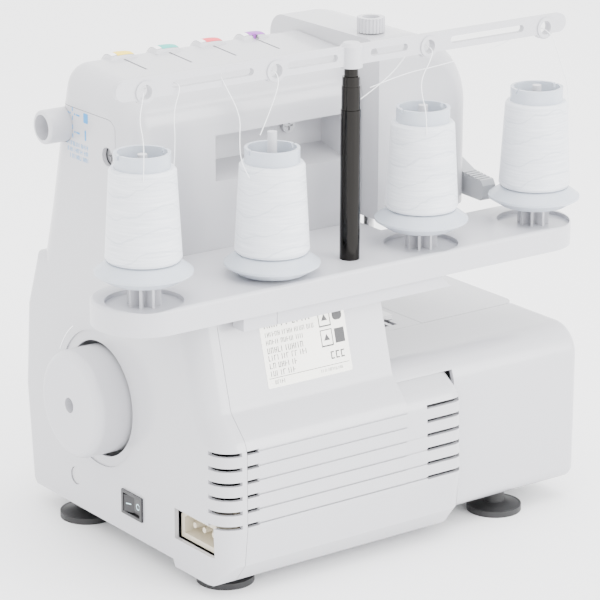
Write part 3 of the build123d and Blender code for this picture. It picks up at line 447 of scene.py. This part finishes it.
def framed_sign(u, v):
    """A square frame with a triangle in it."""
    side, high, line = 8, 9.4, 0.5
    frame_bars = [bar(u, v, u + side, v + line), bar(u, v + high - 0.8, u + side, v + high),
                  bar(u, v, u + line, v + high), bar(u + side - line, v, u + side, v + high)]
    return frame_bars + [[(u + 2, v + 6), (u + 6, v + 6), (u + 4, v + 2.4)]]


def hooks(top):
    """Three open square marks in a row."""
    first_u, pitch, wide, high, line = 44, 3.4, 2.4, 4.2, 0.7
    starts = [first_u + pitch * i for i in range(3)]
    upper = [bar(u, top, u + wide, top + line) for u in starts]
    lower = [bar(u, top + high - line, u + wide, top + high) for u in starts]
    backs = [bar(u, top, u + line, top + high) for u in starts]
    return upper + lower + backs


def plate_foil():
    """Satin, slightly metallic foil."""
    foil = Finish("plate_foil")
    cloud = foil.noise(40, 3.0)
    foil.set(Base_Color=foil.blend(cloud, rgb(0.56, 0.55, 0.50), rgb(0.70, 0.69, 0.65)),
             Roughness=0.16 + 0.1 * cloud)
    foil.shader.inputs["Metallic"].default_value = 0.35
    return foil.material


def rating_plate():
    """A foil with generic print: a heading, lines, two framed signs and a foot line."""
    top, width, high, corner = 6.5, 57.0, 40.0, 1.2
    plate_piece("rating_foil", [rounded(0, top, width, top + high, corner)], on_panel, foil_thick,
                plate_foil())
    margin, first_line, line_pitch = 3, 9.8, 4.2
    line_sizes = ((2.6, 34), (2.6, 26), (3.2, 27), (3.0, 29), (3.0, 20), (3.0, 18))
    shapes = strokes(margin, top + 3.2, 4.4, 33, 1)
    for row, (height, length) in enumerate(line_sizes):
        shapes += strokes(margin, top + first_line + line_pitch * row, height, length, 10 + row)
    shapes += [bar(1.5, top + 34.6, width - 1.5, top + 34.9)]
    shapes += strokes(5, top + 36, 2.2, 8, 30) + strokes(36, top + 36.2, 1.6, 15, 31)
    for down in (4, 15):
        shapes += framed_sign(39, top + down)
    shapes += [rounded(48.5, top + 5, 55, top + 11, 2.4), bar(48.5, top + 15.5, 55, top + 23.5)]
    shapes += hooks(top + 27.5)
    ink = print_ink("plate_ink", rgb(0.02, 0.02, 0.022))
    ink_lift = foil_thick + 0.01
    plate_piece("rating_print", shapes, lambda u, v, h: on_panel(u, v, h + ink_lift), ink_thick, ink)


rating_plate()


def on_side(u, v, height):
    """A point on the flat side cover: u towards the front, v up."""
    return ((side_x + 0.02 + height) * mm, -u * mm, v * mm)


def side_print():
    """Blue sketches and strokes beside the release knob."""
    shapes = []
    for v in (243.5, 233.5):
        top = v + 0.9
        shapes += [bar(30, v, 33.5, top), bar(41, v, 44.5, top), bar(36.8, v - 3.2, 37.6, v - 0.8),
                   bar(36.8, v + 1.8, 37.6, v + 4.2), bar(34.4, v, 35.6, top), bar(39, v, 40.2, top)]
    shapes += [rounded(21.5, 241, 26, 246.5, 0.7), rounded(23.5, 231, 25, 237, 0.7)]
    for row in range(3):
        shapes += strokes(22, 226 - 3.6 * row, 2.4, 23 - 2 * row, 50 + row)
    plate_piece("knob_print", shapes, on_side, 0.05, print_ink("blue_ink", rgb(0.02, 0.22, 0.50)))


def turn_arrow():
    """A thin raised arc round the handwheel."""
    outer, inner, steps = 44.5, 43.9, 16
    first, sweep = 125, 30
    angles = [math.radians(first + sweep * i / steps) for i in range(steps + 1)]
    arc = []
    for radius, turns in ((outer, angles), (inner, reversed(angles))):
        arc += [(-shaft_y - radius * math.cos(turn), shaft_z + radius * math.sin(turn)) for turn in turns]
    plate_piece("turn_arrow", [arc], on_side, 0.12, print_ink("arrow_ink", rgb(0.93, 0.93, 0.94)))


side_print()
turn_arrow()

rocker_centre = (104, 18.2, 30.7)
rocker_tilt = math.radians(8)
rocker_face, rocker_rise, rocker_half = 3.4, 1.4, 7.2


def on_rocker(u, v, height):
    """A point on the rocker's two sloping halves: u along the switch, v up."""
    out = rocker_face + rocker_rise * abs(u) / rocker_half + 0.02 + height
    x = out * math.cos(rocker_tilt) - u * math.sin(rocker_tilt)
    y = out * math.sin(rocker_tilt) + u * math.cos(rocker_tilt)
    return tuple((place + shift) * mm for place, shift in zip(rocker_centre, (x, y, v)))


def switch_marks():
    """The ring and the line on the rocker."""
    ring_u, outer, inner, count, thick = 3.9, 1.9, 1.35, 20, 0.06
    ring = []
    for i in range(count):
        first, second = 2 * math.pi * i / count, 2 * math.pi * (i + 1) / count
        ring.append([(ring_u + radius * math.cos(turn), radius * math.sin(turn))
                     for radius, turn in ((outer, first), (outer, second), (inner, second), (inner, first))])
    ink = print_ink("switch_ink", rgb(0.55, 0.75, 0.85))
    for name, shapes in (("switch_ring", ring), ("switch_line", [bar(-5.6, -0.3, -2.2, 0.3)])):
        plate_piece(name, shapes, on_rocker, thick, ink, body="rocker_unit", slot="black_plastic")


switch_marks()

slit_xs = (72, 42, 12, -18)
tag_colours = {"yellow": rgb(0.86, 0.60, 0.03), "teal": rgb(0.02, 0.42, 0.36),
               "red": rgb(0.72, 0.03, 0.06), "violet": rgb(0.30, 0.05, 0.42)}
hump_half = 9.2            # half the hump's width
hump_middle, hump_reach = 31, 27     # its middle and half its length, in degrees over the front edge
edge_axis = Vector((0, -38, 250)) * mm
slit_room = 1.2 * mm       # a ray that falls into a slit is moved this far aside


def on_cover(cover, x, turn):
    """The cover's surface at x, seen from edge_axis at an angle from upright towards the front."""
    outward = Vector((0, -math.sin(turn), math.cos(turn)))
    start = edge_axis + outward * 0.06
    hits = [cover.ray_cast(start + Vector((x + aside, 0, 0)), -outward)[0]
            for aside in (0, slit_room, -slit_room)]
    hit = next(point for point in hits if point is not None)
    return Vector((x, hit.y, hit.z)), outward


def tag_skin(name, cover, hump_x, aside, half, angles, lift, rise, finish):
    """A skin over one hump, half wide on each side of its middle, between two angles in degrees."""
    rows, across = 16, 10
    vertices = []
    for i in range(rows + 1):
        turn = math.radians(angles[0] + (angles[1] - angles[0]) * i / rows)
        for j in range(across + 1):
            side = (hump_x + aside) * mm + (2 * j / across - 1) * half * mm
            point, outward = on_cover(cover, side, turn)
            round_x = math.sqrt(max(0, 1 - ((side - hump_x * mm) / (hump_half * mm)) ** 2))
            round_y = math.sqrt(max(0, 1 - ((math.degrees(turn) - hump_middle) / hump_reach) ** 2))
            swell = rise * round_x ** 0.5 * round_y ** 0.7
            vertices.append(tuple(point + outward * (lift + swell) * mm))
    wide = across + 1
    corners = [i * wide + j for i in range(rows) for j in range(across)]
    faces = [[first, first + 1, first + wide + 1, first + wide] for first in corners]
    piece = new_piece(name, vertices, faces, finish)
    for face in piece.data.polygons:
        face.use_smooth = True


def colour_tags():
    """A low hump in front of each thread slit, with its coloured tag and a white label."""
    cover = surface_of("arm_cover")
    white = print_ink("tag_white", rgb(0.88, 0.88, 0.9))
    for x, (name, colour) in zip(slit_xs, tag_colours.items()):
        ink = print_ink("tag_" + name, colour)
        tag_skin("tag_hump_" + name, cover, x, 0, hump_half, (4, 58), 0, 3.2, case_white)
        tag_skin("tag_" + name, cover, x, -2, 5.4, (8, 40), 0.1, 3.3, ink)
        tag_skin("tag_label_" + name, cover, x, 5.2, 1.7, (10, 36), 0.1, 3.3, white)


colour_tags()


# ------------------------------------------------------------------ floor and light
def table_top():
    """A pale table top, 8 m square."""
    bpy.ops.mesh.primitive_plane_add(size=8, location=(0, 0, 0))
    table = bpy.context.object
    table.name = "table_top"
    paper = Finish("table_paper")
    cloud = paper.noise(3, 2.0)
    paper.set(Base_Color=paper.blend(cloud, rgb(0.93, 0.93, 0.94), rgb(0.95, 0.95, 0.955)),
              Roughness=0.6 + 0.05 * cloud)
    table.data.materials.append(paper.material)


def softbox(name, place, size, power):
    """A square light that faces the machine."""
    data = bpy.data.lights.new(name, "AREA")
    data.size = size
    data.energy = power
    light = bpy.data.objects.new(name, data)
    light.location = place
    aim = Vector((0, 0, 0.13)) - Vector(place)
    light.rotation_euler = aim.to_track_quat("-Z", "Y").to_euler()
    bpy.context.scene.collection.objects.link(light)


def white_room():
    """Even white light from all round."""
    world = bpy.data.worlds.new("studio")
    world.use_nodes = True
    background = world.node_tree.nodes["Background"]
    background.inputs["Color"].default_value = (1, 1, 1, 1)
    background.inputs["Strength"].default_value = 3.6
    bpy.context.scene.world = world


table_top()
softbox("rear_left", (-1.0, 2.0, 0.9), 1.4, 60)
softbox("overhead", (-0.3, 0.2, 2.2), 1.6, 30)
white_room()
